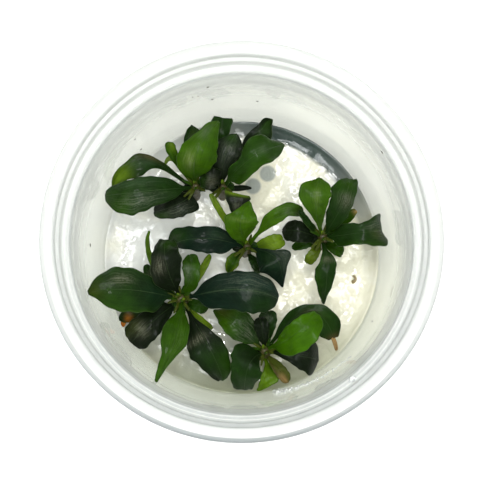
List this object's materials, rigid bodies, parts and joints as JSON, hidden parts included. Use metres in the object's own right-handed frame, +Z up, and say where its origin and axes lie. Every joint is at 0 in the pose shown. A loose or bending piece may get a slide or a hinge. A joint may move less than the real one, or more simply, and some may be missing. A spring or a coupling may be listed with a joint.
{
  "type": "bucephalandra tissue culture cup",
  "caption": "Small dark-leaved aquarium plants rooted in clear nutrient gel in a round, tapered clear plastic tissue-culture cup, open at the top.",
  "frame": {"origin": "middle of the cup's underside", "axes": "+Z up out of the cup's mouth, +Y to the back of the picture's view, +X to its right"},
  "size_m": [0.1, 0.1, 0.05],
  "materials": {
    "clear_plastic": "clear, slightly milky at the rim",
    "nutrient_gel": "wet, clear to cream",
    "rhizome": "matt, ringed",
    "leaf_dark": "waxy, grey sheen",
    "leaf_deep_green": "waxy",
    "leaf_bright_green": "waxy",
    "leaf_yellow_green": "waxy, thin",
    "leaf_browned": "dry"
  },
  "bodies": {
    "root": {"cup": "clear_plastic", "gel": "nutrient_gel", "back_left_rhizome": "rhizome", "back_left_leaf_1": "leaf_bright_green", "back_left_leaf_2": "leaf_deep_green", "back_left_leaf_3": "leaf_dark", "back_left_leaf_4": "leaf_deep_green", "back_left_leaf_5": "leaf_bright_green", "back_left_leaf_6": "leaf_dark", "back_rhizome": "rhizome", "back_leaf_1": "leaf_dark", "back_leaf_2": "leaf_dark", "back_leaf_3": "leaf_deep_green", "back_leaf_4": "leaf_dark", "back_leaf_5": "leaf_dark", "centre_rhizome": "rhizome", "centre_leaf_1": "leaf_bright_green", "centre_leaf_2": "leaf_deep_green", "centre_leaf_3": "leaf_yellow_green", "centre_leaf_4": "leaf_bright_green", "centre_leaf_5": "leaf_dark", "centre_leaf_6": "leaf_yellow_green", "centre_leaf_7": "leaf_dark", "centre_leaf_8": "leaf_bright_green", "centre_leaf_9": "leaf_dark", "right_rhizome": "rhizome", "right_leaf_1": "leaf_bright_green", "right_leaf_2": "leaf_deep_green", "right_leaf_3": "leaf_bright_green", "right_leaf_4": "leaf_deep_green", "right_leaf_5": "leaf_dark", "right_leaf_6": "leaf_dark", "right_leaf_7": "leaf_yellow_green", "right_leaf_8": "leaf_deep_green", "right_leaf_9": "leaf_bright_green", "right_leaf_10": "leaf_deep_green", "front_left_rhizome": "rhizome", "front_left_leaf_1": "leaf_deep_green", "front_left_leaf_2": "leaf_dark", "front_left_leaf_3": "leaf_dark", "front_left_leaf_4": "leaf_bright_green", "front_left_leaf_5": "leaf_dark", "front_left_leaf_6": "leaf_dark", "front_left_leaf_7": "leaf_dark", "front_left_leaf_8": "leaf_deep_green", "front_left_leaf_9": "leaf_yellow_green", "front_left_leaf_10": "leaf_deep_green", "front_left_leaf_11": "leaf_yellow_green", "front_left_leaf_12": "leaf_deep_green", "front_left_leaf_13": "leaf_yellow_green", "front_right_rhizome": "rhizome", "front_right_leaf_1": "leaf_bright_green", "front_right_leaf_2": "leaf_deep_green", "front_right_leaf_3": "leaf_dark", "front_right_leaf_4": "leaf_browned", "front_right_leaf_5": "leaf_yellow_green", "front_right_leaf_6": "leaf_dark", "front_right_leaf_7": "leaf_deep_green", "front_right_leaf_8": "leaf_deep_green", "front_right_leaf_9": "leaf_dark"}
  },
  "joints": []
}
